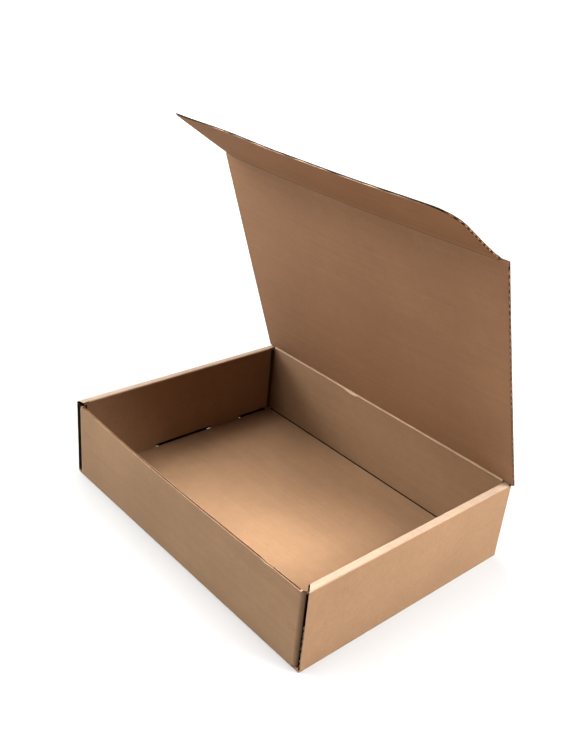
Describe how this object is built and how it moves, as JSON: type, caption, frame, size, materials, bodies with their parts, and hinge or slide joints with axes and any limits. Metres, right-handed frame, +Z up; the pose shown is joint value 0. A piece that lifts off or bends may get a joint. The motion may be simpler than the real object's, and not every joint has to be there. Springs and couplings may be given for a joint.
{
  "type": "corrugated cardboard mailer box",
  "caption": "Kraft corrugated mailer box: shallow tray with double roll-over side walls, a lid hinged on the back wall and a tuck flap on the lid.",
  "frame": {"origin": "middle of the tray's underside, on the surface that the box stands on", "axes": "+Z up, +X along the hinge line to the right as seen from the front, +Y from the front wall to the back wall that carries the lid"},
  "size_m": [0.323, 0.2376, 0.3334],
  "materials": {
    "tray_board": "matte",
    "lid_board": "matte"
  },
  "bodies": {
    "tray": {"tray": "tray_board"},
    "lid": {"lid": "lid_board"},
    "tuck_flap": {"tuck_flap": "lid_board"}
  },
  "joints": [
    {"name": "lid_hinge", "type": "hinge", "parent": "tray", "child": "lid", "pos_m": [0, 0.11765, 0.07895], "axis": [-1, 0, 0], "range_deg": [-69.4, 109.4]},
    {"name": "flap_hinge", "type": "hinge", "parent": "lid", "child": "tuck_flap", "pos_m": [0, 0.04198, 0.29382], "axis": [-1, 0, 0], "range_deg": [-56.3, 38.7]}
  ]
}
